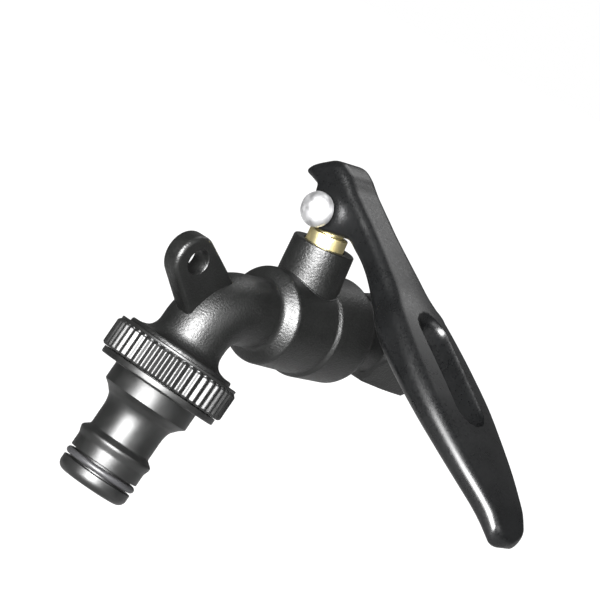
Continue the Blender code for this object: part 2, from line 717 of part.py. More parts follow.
def make_pivot(pivot, steel):
    """Cross bolt through the fork and the tang, with its washers and the domed nut."""
    across = (0.0, math.pi / 2, 0.0)
    head_inner = -(CHEEK + SEAT_GAP + SPRING_WASHER_THICKNESS + SEAT_GAP)
    nut_inner = CHEEK + SEAT_GAP
    bolt_end = nut_inner + NUT_HEIGHT
    bolt = solid("pivot_bolt", turned_solid([
        (head_inner - EDGE, BOLT_R), (bolt_end - EDGE, BOLT_R), (bolt_end, BOLT_R - EDGE),
    ], SMALL_SIDES), pivot, steel, across)
    head = solid("bolt_head_form", skin(hex_rings(
        BOLT_HEAD_FLATS, NUT_ROUND_R, 0.0, head_inner, head_inner - BOLT_HEAD_HEIGHT)),
        pivot, rotation=across)
    combine(bolt, head, "UNION")
    nut_outer = nut_inner + NUT_HEIGHT
    nut = solid("dome_nut", skin(hex_rings(NUT_FLATS, NUT_ROUND_R, NUT_TURN, nut_inner,
                                           nut_outer)), pivot, steel, across)
    rows = [(nut_outer - DOME_ROOT, DOME_R)]
    rows += [(nut_outer + DOME_HEIGHT * math.sin(math.pi / 2 * k / 6),
              DOME_R * math.cos(math.pi / 2 * k / 6)) for k in range(6)]
    dome = solid("dome_form", turned_solid(rows, SMALL_SIDES), pivot, rotation=across)
    combine(nut, dome, "UNION")
    thread = solid("nut_bore_cutter", turned_solid([
        (nut_inner - PAST, BOLT_R + SLIDE_GAP), (bolt_end + SEAT_GAP, BOLT_R + SLIDE_GAP),
    ], RING_SIDES), pivot, rotation=across)
    combine(nut, thread, "DIFFERENCE")
    hole_r = BOLT_R + SLIDE_GAP
    spring_inner = -(CHEEK + SEAT_GAP)
    spring = solid("spring_washer", turned([
        (spring_inner, hole_r), (spring_inner, SPRING_WASHER_R),
        (spring_inner - SPRING_WASHER_THICKNESS, SPRING_WASHER_R),
        (spring_inner - SPRING_WASHER_THICKNESS, hole_r),
    ], SMALL_SIDES), pivot, steel, across)
    split = solid("split_cutter", box(
        (spring_inner - SPRING_WASHER_THICKNESS - PAST, -SPRING_WASHER_SPLIT / 2, 0.0),
        (spring_inner + PAST, SPRING_WASHER_SPLIT / 2, SPRING_WASHER_R + PAST)), pivot)
    combine(spring, split, "DIFFERENCE")


def make_nipple(outlet, finish, rubber):
    """Hose nipple: screwed socket, flange, waisted spout, ridge, O-ring groove and nose."""
    outline = [
        (SLEEVE_TOP, SOCKET_R), (SLEEVE_TOP, SLEEVE_R), (FLANGE_TOP, SLEEVE_R),
        (FLANGE_TOP, FLANGE_R - EDGE), (FLANGE_TOP + EDGE, FLANGE_R),
        (FLANGE_BOTTOM - EDGE, FLANGE_R), (FLANGE_BOTTOM, FLANGE_R - EDGE),
        (FLANGE_BOTTOM, HUB_R), (HUB_BOTTOM - EDGE, HUB_R),
    ]
    outline += [(t, r) for r, t in quarter(
        (HUB_R, HUB_BOTTOM - EDGE), (WAIST_R, WAIST_TOP), 5)]
    outline += [
        (WAIST_BOTTOM, WAIST_R), (RIDGE_TOP, RIDGE_R), (RIDGE_BOTTOM, RIDGE_R),
        (LAND_TOP, LAND_R), (GROOVE_TOP, LAND_R), (GROOVE_TOP, GROOVE_R),
        (GROOVE_BOTTOM, GROOVE_R), (GROOVE_BOTTOM, NOSE_R), (NOSE_END - NOSE_ROUND, NOSE_R),
    ]
    outline += quarter((NOSE_END - NOSE_ROUND, NOSE_R), (NOSE_END, NOSE_R - NOSE_ROUND), 3)
    outline += [
        (NOSE_END, NIPPLE_BORE_R), (SOCKET_FLOOR, NIPPLE_BORE_R), (SOCKET_FLOOR, SOCKET_R),
    ]
    solid("hose_nipple", turned(outline, BODY_SIDES), outlet, finish)
    wire = (O_RING_R - GROOVE_R - O_RING_FIT) / 2
    solid("nipple_o_ring", o_ring((GROOVE_TOP + GROOVE_BOTTOM) / 2, O_RING_R - wire, wire),
          outlet, rubber)
    seal_bottom = SOCKET_FLOOR - SEAT_GAP
    seal_top = seal_bottom - WASHER_SEAL_THICKNESS
    solid("outlet_washer", turned([
        (seal_top, SPIGOT_BORE_R), (seal_top, SOCKET_R - SLIDE_GAP),
        (seal_bottom, SOCKET_R - SLIDE_GAP), (seal_bottom, SPIGOT_BORE_R),
    ], SMALL_SIDES), outlet, rubber)


def make_grip_ring(outlet, finish):
    """Ribbed ring round the nipple's sleeve, with a plain lip that hides the body's rim."""
    inner = SLEEVE_R + SLIDE_GAP
    recess = RIM_R + SEAT_GAP
    low = FLANGE_TOP - SEAT_GAP
    rows = [
        (low, inner, 0.0), (low, RIB_R - EDGE, 1.0), (low - EDGE, RIB_R, 1.0),
        (EDGE, RIB_R, 1.0), (0.0, RIB_R - EDGE, 1.0), (0.0, GRIP_LIP_R, 0.0),
        (GRIP_LIP_TOP, GRIP_LIP_R, 0.0), (GRIP_LIP_TOP, recess, 0.0),
        (GRIP_RECESS_FLOOR, recess, 0.0), (GRIP_RECESS_FLOOR, inner, 0.0),
    ]
    rings = []
    for height, radius, ribbed in rows:
        ring = []
        for k in range(3 * RIB_COUNT):
            valley = RIB_DEPTH * ribbed if k % 3 == 0 else 0.0
            angle = 2 * math.pi * (k // 3 + RIB_POINTS[k % 3]) / RIB_COUNT
            ring.append(((radius - valley) * math.cos(angle),
                         (radius - valley) * math.sin(angle), height))
        rings.append(ring)
    solid("grip_ring", skin(rings, closed=True), outlet, finish)


def build():
    """Clear the scene and make every piece."""
    for existing in list(bpy.data.objects):
        bpy.data.objects.remove(existing)
    black = material("black_coating", (0.035, 0.037, 0.036), 0.42, 0.35)
    ring_black = material("black_ring", (0.03, 0.031, 0.031), 0.36, 0.4)
    brass = material("brass", (0.78, 0.6, 0.27), 0.28, 1.0)
    steel = material("bright_steel", (0.8, 0.8, 0.8), 0.18, 1.0)
    chrome = material("plated_ball", (0.75, 0.75, 0.77), 0.12, 1.0)
    plastic = material("white_seat", (0.86, 0.86, 0.84), 0.5, 0.0)
    rubber = material("black_rubber", (0.02, 0.02, 0.02), 0.6, 0.0)

    tap = frame("tap_frame", (STEM_X, 0.0, 0.0))
    mouth_x = BEND_CORNER_X + OUTLET_DROP * math.sin(OUTLET_TILT)
    outlet = frame("outlet_frame", (mouth_x, 0.0, -OUTLET_DROP * math.cos(OUTLET_TILT)),
                   (0.0, math.pi - OUTLET_TILT, 0.0), tap)
    stem_axis = frame("stem_axis", parent=tap)
    pivot = frame("lever_pivot", (0.0, 0.0, PIVOT_Z), parent=stem_axis)

    make_body(tap, black)
    make_ball(stem_axis, chrome)
    make_seats(tap, plastic, brass, rubber)
    make_stem(stem_axis, brass, rubber)
    make_gland(tap, plastic, brass)
    make_lever(pivot, black)
    make_pivot(pivot, steel)
    make_nipple(outlet, ring_black, rubber)
    make_grip_ring(outlet, ring_black)


build()
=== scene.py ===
"""Looks of the black lever tap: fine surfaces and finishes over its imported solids.

Lengths are in millimetres until a mesh is made. X runs from the wall thread to the outlet, Z up
the stem, and the lever hangs to +Y.
"""

import json
import math

import bmesh
import bpy
import numpy as np
from mathutils import Matrix, Vector

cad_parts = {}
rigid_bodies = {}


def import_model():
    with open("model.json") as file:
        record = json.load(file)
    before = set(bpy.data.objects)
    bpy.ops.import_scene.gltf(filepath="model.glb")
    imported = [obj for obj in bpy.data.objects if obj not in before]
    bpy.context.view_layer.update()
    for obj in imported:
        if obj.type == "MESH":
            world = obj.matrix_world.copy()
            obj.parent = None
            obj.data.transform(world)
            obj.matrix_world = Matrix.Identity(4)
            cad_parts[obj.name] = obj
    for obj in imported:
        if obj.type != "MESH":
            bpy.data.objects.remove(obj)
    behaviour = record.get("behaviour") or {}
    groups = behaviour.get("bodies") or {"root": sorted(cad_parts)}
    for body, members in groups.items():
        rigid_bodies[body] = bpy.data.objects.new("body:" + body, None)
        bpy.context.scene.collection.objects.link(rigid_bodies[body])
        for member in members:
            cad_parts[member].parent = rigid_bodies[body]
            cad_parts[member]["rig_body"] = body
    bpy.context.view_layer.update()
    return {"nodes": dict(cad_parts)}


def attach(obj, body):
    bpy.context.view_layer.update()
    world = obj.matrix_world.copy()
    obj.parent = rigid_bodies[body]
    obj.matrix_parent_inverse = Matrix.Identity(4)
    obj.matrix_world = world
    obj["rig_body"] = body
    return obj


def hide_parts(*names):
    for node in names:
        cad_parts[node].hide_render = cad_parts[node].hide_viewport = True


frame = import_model()

# Casting
# One body of cast and machined metal from the wall thread to the outlet thread, with a boss for
# the stem and an ear for a padlock. It is coated satin black over a fine cast grain.

MM = 0.001
STEM_X = 37.0
PIVOT_Z = 24.47
OUTLET_TILT = math.radians(15.6)


class Wire:
    """A shader output that takes part in sums and products as a number does."""

    def __init__(self, paint, socket):
        self.paint = paint
        self.socket = socket

    def math(self, operation, first, second=0.0):
        made = self.paint.node("ShaderNodeMath", {"operation": operation}, {0: first, 1: second})
        return self.paint.out(made)

    def __add__(self, other):
        return self.math("ADD", self, other)

    def __radd__(self, other):
        return self.math("ADD", other, self)

    def __sub__(self, other):
        return self.math("SUBTRACT", self, other)

    def __rsub__(self, other):
        return self.math("SUBTRACT", other, self)

    def __mul__(self, other):
        return self.math("MULTIPLY", self, other)

    def __rmul__(self, other):
        return self.math("MULTIPLY", other, self)


class Paint:
    """One procedural material, read in Object coordinates."""

    def __init__(self, name, roughness=0.5, metallic=0.0, **fixed):
        self.material = bpy.data.materials.new(name)
        self.material.use_nodes = True
        self.tree = self.material.node_tree
        self.shader = self.tree.nodes["Principled BSDF"]
        self.shader.inputs["Roughness"].default_value = roughness
        self.shader.inputs["Metallic"].default_value = metallic
        for socket, value in fixed.items():
            self.shader.inputs[socket.replace("_", " ")].default_value = value
        self.place = self.out(self.node("ShaderNodeTexCoord"), "Object")

    def node(self, kind, settings=None, sockets=None):
        """Add a node: its settings first, then the values or links of its sockets."""
        made = self.tree.nodes.new(kind)
        for name, value in (settings or {}).items():
            setattr(made, name, value)
        for key, value in (sockets or {}).items():
            if isinstance(value, Wire):
                self.tree.links.new(value.socket, made.inputs[key])
            else:
                made.inputs[key].default_value = value
        return made

    def out(self, made, key=0):
        return Wire(self, made.outputs[key])

    def feed(self, socket, wire):
        self.tree.links.new(wire.socket, self.shader.inputs[socket])

    def noise(self, size, detail=2.0, stretch=(1.0, 1.0, 1.0), rough=0.5, place=None):
        """Noise whose grains are about size millimetres across, drawn out by the stretch."""
        placed = self.out(self.node("ShaderNodeMapping", None, {
            "Vector": place or self.place, "Scale": stretch}))
        return self.out(self.node("ShaderNodeTexNoise", None, {
            "Vector": placed, "Scale": 1.0 / (size * MM), "Detail": detail,
            "Roughness": rough}), "Fac")

    def spread(self, wire, low, high, new_low, new_high):
        """Carry a number from one range to another, held at both ends."""
        return self.out(self.node("ShaderNodeMapRange", {"clamp": True}, {
            0: wire, 1: low, 2: high, 3: new_low, 4: new_high}))

    def colour(self, factor, first, second):
        """A blend of two colours."""
        return self.out(self.node("ShaderNodeMix", {"data_type": "RGBA"}, {
            0: factor, 6: (*first, 1.0), 7: (*second, 1.0)}), 2)

    def relief(self, height, depth, strength=1.0, under=None):
        """Bump of a height field, depth in millimetres."""
        sockets = {"Height": height, "Distance": depth * MM, "Strength": strength}
        if under:
            sockets["Normal"] = under
        return self.out(self.node("ShaderNodeBump", None, sockets))


def soften(outline, steps=5):
    """Dense outline from (along, across, rounding) rows: each corner becomes a short parabola
    that leaves and meets the straight runs at the rounding distance from the corner."""
    points = np.array([row[:2] for row in outline], float)
    dense = [points[:1]]
    for index in range(1, len(points) - 1):
        before, here, after = points[index - 1:index + 2]
        rounding = outline[index][2]
        if rounding <= 0:
            dense.append(here[None])
            continue
        back, ahead = before - here, after - here
        long_back, long_ahead = np.linalg.norm(back), np.linalg.norm(ahead)
        start = here + back * min(rounding / long_back, 0.48)
        finish = here + ahead * min(rounding / long_ahead, 0.48)
        t = np.linspace(0, 1, steps)[:, None]
        dense.append((1 - t) ** 2 * start + 2 * t * (1 - t) * here + t * t * finish)
    dense.append(points[-1:])
    return np.concatenate(dense)


def flowing(rows, steps):
    """Catmull-Rom curve through rows of numbers: each stretch is the cubic whose slope at a row
    is half the step between its neighbours."""
    rows = np.array(rows, float)
    padded = np.concatenate([rows[:1], rows, rows[-1:]])
    t = (np.arange(steps) / steps)[None, :, None]
    a, b, c, d = (padded[k:len(rows) - 1 + k, None] for k in range(4))
    curve = 0.5 * (2 * b + (c - a) * t + (2 * a - 5 * b + 4 * c - d) * t ** 2
                   + (3 * b - a - 3 * c + d) * t ** 3)
    return np.concatenate([curve.reshape(-1, rows.shape[1]), rows[-1:]])


def shell(name, grid, looped=False):
    """Closed mesh of a grid of points in millimetres. Columns join up round the shape; rows join
    in turn, and the end rows are capped, or joined to each other when looped."""
    rows, around = grid.shape[:2]
    index = np.arange(rows * around).reshape(rows, around)
    upper, lower = (index, np.roll(index, -1, 0)) if looped else (index[:-1], index[1:])
    quads = np.stack([upper, np.roll(upper, -1, 1), np.roll(lower, -1, 1), lower], -1)
    faces = quads.reshape(-1, 4).tolist()
    if not looped:
        faces += [index[0, ::-1].tolist(), index[-1].tolist()]
    mesh = bpy.data.meshes.new(name)
    mesh.from_pydata((grid.reshape(-1, 3) * MM).tolist(), [], faces)
    tidy = bmesh.new()
    tidy.from_mesh(mesh)
    bmesh.ops.remove_doubles(tidy, verts=tidy.verts, dist=1e-7)
    bmesh.ops.recalc_face_normals(tidy, faces=tidy.faces)
    tidy.to_mesh(mesh)
    tidy.free()
    made = bpy.data.objects.new(name, mesh)
    bpy.context.scene.collection.objects.link(made)
    return made


def carve(made, tool, operation):
    """Join or cut a mesh with a tool exactly, apply the result and drop the tool."""
    step = made.modifiers.new(operation, "BOOLEAN")
    step.operation, step.solver, step.object = operation, "EXACT", tool
    graph = bpy.context.evaluated_depsgraph_get()
    result = bpy.data.meshes.new_from_object(made.evaluated_get(graph))
    made.modifiers.clear()
    made.data = result
    bpy.data.objects.remove(tool)


def dress(made, node, finish, sharp=38):
    """Put a finished piece in the place of its solid, on the same body, in its material slot.
    Its shading is smooth, apart from edges that turn by more than the sharp angle."""
    made.data.materials.clear()
    made.data.materials.append(finish.material)
    made.data.shade_smooth()
    made.data.set_sharp_from_angle(angle=math.radians(sharp))
    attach(made, frame["nodes"][node]["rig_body"])
    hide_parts(node)


def ring_grid(outline, around):
    """Turned surface about local Z: each (height, radius) row is carried round a circle."""
    angle = np.linspace(0, 2 * np.pi, around, endpoint=False)
    height, radius = outline[:, 0, None], outline[:, 1, None]
    return np.stack([radius * np.cos(angle), radius * np.sin(angle),
                     height + 0 * angle], -1)


BEND_CORNER_X = STEM_X + 24.3
BEND_R = 9.0
OUTLET_DROP = 13.1
TUBE_R = 7.35
WATERWAY_R = 4.4
INLET_END, INLET_RELIEF, HEX_SEAT, HEX_FRONT = -7.9, -4.6, -3.3, 12.5
INLET_THREAD_R = 10.42
RELIEF_R = 9.2
HEX_CORNER_R = 11.35
BEND_ANGLE = math.pi / 2 - OUTLET_TILT
BEND_START = BEND_CORNER_X - BEND_R * math.tan(BEND_ANGLE / 2)
BEND_END = BEND_START + BEND_R * BEND_ANGLE
RIM_END = BEND_END + OUTLET_DROP - BEND_R * math.tan(BEND_ANGLE / 2)
RIM_WIDTH = 1.9
THREAD_PITCH = 1.814
THREAD_DEPTH = 0.95


def waterway(s):
    """Centre and heading, in the XZ plane, at distance s along the straight, the bend and the
    outlet leg."""
    turn = np.clip((s - BEND_START) / BEND_R, 0, BEND_ANGLE)
    over = np.maximum(s - BEND_END, 0)
    x = np.minimum(s, BEND_START) + BEND_R * np.sin(turn) + over * math.sin(OUTLET_TILT)
    z = BEND_R * (np.cos(turn) - 1) - over * math.cos(OUTLET_TILT)
    return x, z, np.cos(turn), -np.sin(turn)


def sweep(s, reach, angle):
    """Carry sections along the waterway: reach is the radius at each station and angle."""
    x, z, ahead, climb = (part[:, None] for part in waterway(s))
    up, side = reach * np.cos(angle), reach * np.sin(angle)
    return np.stack([x - climb * up, side, z + ahead * up], -1)


def hex_slant(angle):
    """Angle from the middle of the nearest of six flats."""
    return (angle + math.pi / 6) % (math.pi / 3) - math.pi / 6


def make_casting():
    """Outer and inner walls in one looped sweep. The flats take the radius by a soft minimum
    with the distance over the cosine of the slant, and the inlet's thread crests climb one
    pitch for each turn round."""
    lead_in = INLET_END + 1.2
    rim = RIM_END - RIM_WIDTH
    thread_end = RIM_END + 5.4
    turns = np.arange(lead_in, INLET_RELIEF, 0.13)
    thread = np.stack([turns, np.full(len(turns), INLET_THREAD_R)], 1)
    start = soften([(INLET_RELIEF, INLET_THREAD_R, 0), (INLET_RELIEF, RELIEF_R, 0.15),
                    (HEX_SEAT, RELIEF_R, 0.1), (HEX_SEAT, 10.7, 0.3),
                    (HEX_SEAT + 0.7, HEX_CORNER_R, 0.3), (HEX_SEAT + 1.1, HEX_CORNER_R, 0)])
    hexagon = np.stack([np.linspace(HEX_SEAT + 1.3, 11.9, 26), np.full(26, HEX_CORNER_R)], 1)
    neck = flowing([(HEX_FRONT, 8.3), (13.0, 7.98), (13.9, 7.9), (14.9, 7.9), (15.8, 7.93),
                    (17.37, 8.11), (18.8, 8.68), (20.2, 9.68), (21.6, 10.74), (22.8, 11.3)], 5)
    band = soften([(23.3, 11.45, 0.0), (23.7, 11.45, 0), (33.35, 11.45, 0.28), (34.2, 10.76, 0.28),
                   (44.3, 10.38, 0)])
    shoulder = flowing([(STEM_X + ahead, radius) for ahead, radius in (
        (7.7, 10.37), (8.65, 10.33), (9.15, 10.2), (9.55, 9.9), (10.2, 9.02), (10.8, 8.15),
        (11.25, 7.68), (11.9, 7.42), (13.0, 7.36))] + [(BEND_START, TUBE_R)], 6)[6:]
    leg = np.stack([np.linspace(BEND_START, BEND_END, 60)[1:], np.full(59, TUBE_R)], 1)
    flare = flowing([(rim - 3.4, TUBE_R), (rim - 2.3, TUBE_R + 0.12), (rim - 1.2, TUBE_R + 0.62),
                     (rim - 0.5, TUBE_R + 1.4), (rim - 0.12, TUBE_R + 2.5),
                     (rim, TUBE_R + 3.3)], 4)
    mouth = soften([(rim, 11.0, 0), (rim, 12.0, 0.9), (RIM_END, 12.0, 0.35),
                    (RIM_END, 10.3, 0.1), (thread_end, 10.3, 0.4), (thread_end, 6.5, 0.2),
                    (thread_end - 3.2, 6.5, 0.1), (thread_end - 3.2, WATERWAY_R, 0.1),
                    (thread_end - 3.6, WATERWAY_R, 0)])
    inside = np.stack([np.linspace(thread_end - 4.4, STEM_X + 7.3, 70),
                       np.full(70, WATERWAY_R)], 1)
    chamber = soften([(STEM_X + 7.0, WATERWAY_R, 0), (STEM_X + 7.0, 6.4, 0.1),
                      (INLET_END + 0.7, 6.4, 0.2), (INLET_END, 6.9, 0.1), (INLET_END, 9.1, 0)])
    outline = np.concatenate([[(INLET_END, RELIEF_R)], thread, start, hexagon, neck, band,
                              shoulder, leg, flare, mouth, inside, chamber])
    s, radius = outline[:, 0, None], outline[:, 1, None]
    angle = np.linspace(0, 2 * np.pi, 144, endpoint=False)
    outer = np.arange(len(outline))[:, None] < len(outline) - len(inside) - len(chamber)
    flats = np.interp(s, [HEX_SEAT, 4.6, 11.8, HEX_FRONT], [19.7, 18.4, 16.8, 16.2]) / 2
    facet = flats / np.cos(hex_slant(angle))
    crisp = 6.0
    flattened = -np.log(np.exp(-crisp * facet) + np.exp(-crisp * radius)) / crisp
    on_hex = outer & (s > HEX_SEAT - 0.01) & (s < HEX_FRONT + 0.05) & (radius > RELIEF_R + 0.05)
    reach = np.where(on_hex, flattened, radius)
    wave = (s / THREAD_PITCH + angle / (2 * np.pi)) % 1
    groove = np.clip(1.25 - np.abs(4 * wave - 2), 0, 1)
    threaded = outer & (s > INLET_END + 0.25) & (s < INLET_RELIEF + 0.01) & (radius > 9.5)
    fade = np.clip((s - INLET_END) / (lead_in - INLET_END), 0, 1)
    reach = np.where(threaded, reach - THREAD_DEPTH * fade * groove, reach)
    return shell("tap_casting", sweep(outline[:, 0], reach, angle), looped=True)


def make_boss():
    """Boss on the barrel: a turned form whose foot spreads in a small fillet where it meets the
    barrel, the radius growing by a quarter circle below the fillet's height."""
    around = 120
    angle = np.linspace(0, 2 * np.pi, around, endpoint=False)
    foot, fillet = 6.95, 0.25
    side = foot * np.sin(angle)
    along = foot * np.cos(angle)
    barrel = np.interp(along, [-3.65, -2.8, 7.0], [11.4, 10.72, 10.4])
    ground = np.sqrt(barrel ** 2 - side ** 2)
    h = np.concatenate([[-1.6, -0.4, 0.0], np.linspace(0.06, fillet, 8), [fillet + 0.3]])[:, None]
    spread = fillet * (1 - np.sqrt(np.clip(1 - (1 - np.clip(h / fillet, 0, 1)) ** 2, 0, 1)))
    low = np.stack([(foot + spread) * np.cos(angle), (foot + spread) * np.sin(angle),
                    ground + h], -1)
    top = soften([(13.2, 6.88, 0), (17.65, 6.76, 0.45), (17.65, 4.0, 0)])
    high = ring_grid(np.concatenate([[(11.9, 6.92)], top]), around)
    grid = np.concatenate([low, high])
    grid[..., 0] += STEM_X
    return shell("boss_form", grid)


def make_well():
    """Cutter for the stem's well: turned steps with a small lead-in at the mouth."""
    outline = np.array([(3.0, 3.2), (10.0, 3.2), (10.0, 4.55), (17.2, 4.55), (17.5, 4.62),
                        (17.66, 4.8), (18.6, 5.2)])
    grid = ring_grid(outline, 72)
    grid[..., 0] += STEM_X
    return shell("well_form", grid)


EAR_X, EAR_Z, EAR_R = STEM_X + 36.85, 8.2, 5.2
EAR_HOLE_X = EAR_X - 0.65
EAR_REAR, EAR_FRONT = (STEM_X + 21.4, 4.4), (STEM_X + 30.5, -4.6)


def make_ear():
    """Padlock ear: an outline of two tangents and an arc, its edges rolled over by drawing the
    outline inwards along its normals in a quarter circle on each face."""
    centre = np.array([EAR_X, EAR_Z])
    ends = []
    for foot, side in ((EAR_FRONT, 1), (EAR_REAR, -1)):
        away = np.array(foot) - centre
        reach = np.linalg.norm(away)
        ends.append(math.atan2(away[1], away[0]) + side * math.acos(EAR_R / reach))
    sweep_angle = np.linspace(ends[0], ends[1] % (2 * math.pi), 44)
    normal = np.stack([np.cos(sweep_angle), np.sin(sweep_angle)], 1)
    arc = centre + EAR_R * normal
    steps = 12
    t = np.linspace(0, 1, steps, endpoint=False)[:, None]
    front = np.array(EAR_FRONT) + t * (arc[0] - np.array(EAR_FRONT))
    rear = arc[-1] + (t + 1 / steps) * (np.array(EAR_REAR) - arc[-1])
    outline = np.concatenate([front, arc, rear])
    normals = np.concatenate([np.repeat(normal[:1], steps, 0), normal,
                              np.repeat(normal[-1:], steps, 0)])
    half, roll = 2.2, 1.0
    lean = np.linspace(0, np.pi / 2, 7)
    inset = np.concatenate([roll * (1 - np.sin(lean)), roll * (1 - np.sin(lean[::-1]))])
    depth = np.concatenate([-half + roll * (1 - np.cos(lean)),
                            half - roll * (1 - np.cos(lean[::-1]))])
    flat = outline[None] - inset[:, None, None] * normals[None]
    grid = np.stack([flat[..., 0], depth[:, None] + 0 * flat[..., 0], flat[..., 1]], -1)
    return shell("ear_form", grid)


def make_ear_hole():
    """Cutter for the padlock hole, flared at both faces for a small broken edge."""
    y = np.array([-3.2, -2.25, -2.1, -1.85, 1.85, 2.1, 2.25, 3.2])
    radius = np.array([2.85, 2.82, 2.72, 2.6, 2.6, 2.72, 2.82, 2.85])
    angle = np.linspace(0, 2 * np.pi, 64, endpoint=False)
    grid = np.stack([EAR_HOLE_X + radius[:, None] * np.cos(angle), y[:, None] + 0 * angle,
                     EAR_Z + radius[:, None] * np.sin(angle)], -1)
    return shell("ear_hole_form", grid)


def cast_black(name, tone, grain_depth, gloss):
    """Satin black coating: a pitted grain under it, and patches a little duller than others."""
    paint = Paint(name, gloss, 0.0, IOR=1.45)
    grain = paint.noise(0.45, 2.5, rough=0.55)
    broad = paint.noise(5.0, 2.0)
    lift = paint.spread(broad, 0.35, 0.65, 0.0, 1.0)
    paint.feed("Base Color", paint.colour(lift, tone, tuple(1.25 * c for c in tone)))
    paint.feed("Roughness", paint.spread(grain, 0.3, 0.7, gloss - 0.05, gloss + 0.07)
               + paint.spread(broad, 0.3, 0.7, -0.02, 0.02))
    soft = paint.relief(broad, 0.05, 0.4)
    paint.feed("Normal", paint.relief(grain, grain_depth, 1.0, soft))
    return paint


casting = make_casting()
carve(casting, make_boss(), "UNION")
carve(casting, make_ear(), "UNION")
carve(casting, make_well(), "DIFFERENCE")
carve(casting, make_ear_hole(), "DIFFERENCE")
coating = cast_black("cast_black_coating", (0.0016, 0.0017, 0.0016), 0.08, 0.4)
dress(casting, "tap_body", coating, sharp=34)

# Ball, seats and seals
# A plated ball turns between two white seat rings, held from the inlet by a brass ring. They and
# the seals are inside the tap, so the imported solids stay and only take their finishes.


def plain_finish(name, tone, roughness, metallic, grain, depth):
    """Smooth moulded or machined finish with a faint grain and slight change of tone."""
    paint = Paint(name, roughness, metallic)
    mottle = paint.noise(grain, 2.0)
    paint.feed("Base Color", paint.colour(mottle, tone, tuple(0.88 * c for c in tone)))
    paint.feed("Roughness", paint.spread(mottle, 0.3, 0.7, roughness * 0.85, roughness * 1.15))
    paint.feed("Normal", paint.relief(mottle, depth, 0.5))
    return paint


plating = plain_finish("plated_ball_metal", (0.75, 0.75, 0.77), 0.12, 1.0, 1.2, 0.004)
seat_white = plain_finish("white_seat_ring", (0.86, 0.86, 0.84), 0.5, 0.0, 0.8, 0.01)
seal_rubber = plain_finish("black_seal_rubber", (0.017, 0.017, 0.018), 0.42, 0.0, 0.5, 0.012)
inner_brass = plain_finish("inner_brass", (0.78, 0.6, 0.27), 0.26, 1.0, 0.4, 0.006)

for node, finish in (
    ("ball", plating), ("front_seat", seat_white), ("rear_seat", seat_white),
    ("seat_retainer", inner_brass), ("retainer_o_ring", seal_rubber),
    ("lower_stem_o_ring", seal_rubber), ("upper_stem_o_ring", seal_rubber),
    ("stem_thrust_washer", seat_white), ("stem_packing", seat_white),
    ("outlet_washer", seal_rubber),
):
    held = frame["nodes"][node]
    held.data.materials.clear()
    held.data.materials.append(finish.material)

# Gland nut and stem
# A bright brass gland nut closes the boss round the stem. The stem comes up through it and ends
# in two flats that the fork of the lever straddles.


def brass_finish():
    """Turned brass: rings from the tool run round the stem, and the metal has dulled in places."""
    paint = Paint("turned_brass", 0.4, 1.0)
    rings = paint.noise(0.12, 2.0, stretch=(0.04, 0.04, 1.0))
    dull = paint.noise(1.6, 3.0)
    paint.feed("Base Color", paint.colour(paint.spread(dull, 0.45, 0.7, 0.0, 1.0),
                                          (0.8, 0.71, 0.4), (0.6, 0.5, 0.24)))
    paint.feed("Roughness", paint.spread(dull, 0.4, 0.7, 0.36, 0.5))
    paint.feed("Normal", paint.relief(rings, 0.012, 0.6))
    return paint


brass = brass_finish()
GLAND_TOP = 20.2
STEM_R = 3.0
gland = ring_grid(soften([(15.0, 3.25, 0), (15.0, 4.25, 0.1), (GLAND_TOP, 4.25, 0.32),
                          (GLAND_TOP, 3.25, 0.12), (15.0, 3.25, 0)]), 96)
gland[..., 0] += STEM_X
dress(shell("brass_gland", gland, looped=True), "gland_nut", brass)


def make_stem():
    """Stem: a blade, two O-ring grooves, a collar and a shank. Where the blade and the tang are
    cut to flats, the radius is the lesser of the round and the flat's distance over the cosine."""
    blade_top, tang_foot = 6.3, GLAND_TOP + 0.3
    outline = soften([(4.2, 0.6, 0), (4.2, 2.7, 0.1), (blade_top - 0.02, 2.7, 0),
                      (blade_top, STEM_R, 0), (6.9, STEM_R, 0.05), (6.9, 2.2, 0), (7.9, 2.2, 0),
                      (7.9, STEM_R, 0.05), (8.4, STEM_R, 0.05), (8.4, 2.2, 0), (9.4, 2.2, 0),
                      (9.4, STEM_R, 0.05), (11.2, STEM_R, 0), (11.2, 4.2, 0.1), (12.4, 4.2, 0.1),
                      (12.4, STEM_R, 0), (tang_foot - 0.05, STEM_R, 0), (tang_foot, STEM_R, 0),
                      (20.8, STEM_R, 0), (27.4, STEM_R, 0), (28.07, 2.4, 0.3), (28.07, 0.4, 0)])
    angle = np.linspace(0, 2 * np.pi, 96, endpoint=False)
    height, radius = outline[:, :1], outline[:, 1:]
    tang_half, blade_half, uncut = 1.9, 1.0, 9.0
    flat = np.where(height > tang_foot - 0.04, tang_half,
                    np.where(height < blade_top - 0.01, blade_half, uncut))
    reach = np.minimum(radius, flat / np.maximum(np.abs(np.cos(angle)), 1e-3))
    grid = np.stack([STEM_X + reach * np.cos(angle), reach * np.sin(angle),
                     height + 0 * angle], -1)
    return shell("brass_stem", grid)


def across_grid(outline, around):
    """Turned surface about the cross bolt's axis, which runs along X through the pivot."""
    grid = ring_grid(outline, around)
    return np.stack([STEM_X + grid[..., 2], grid[..., 0], PIVOT_Z + grid[..., 1]], -1)


def cross_hole(name, start, end, radius):
    """Cutter for a plain hole on the cross bolt's axis."""
    return shell(name, across_grid(np.array([(start, radius), (end, radius)]), 48))


stem = make_stem()
carve(stem, cross_hole("tang_hole_form", -4.0, 4.0, 2.04), "DIFFERENCE")
dress(stem, "stem", brass)

# Lever
# One casting: a hooked beak and a fork at the pivot, a cam heel over the gland, and a long
# crowned paddle with a slot that drops over the padlock ear. It is coated smoother than the body.

CHEEK = 5.2
PADDLE_SPREAD = 5.3
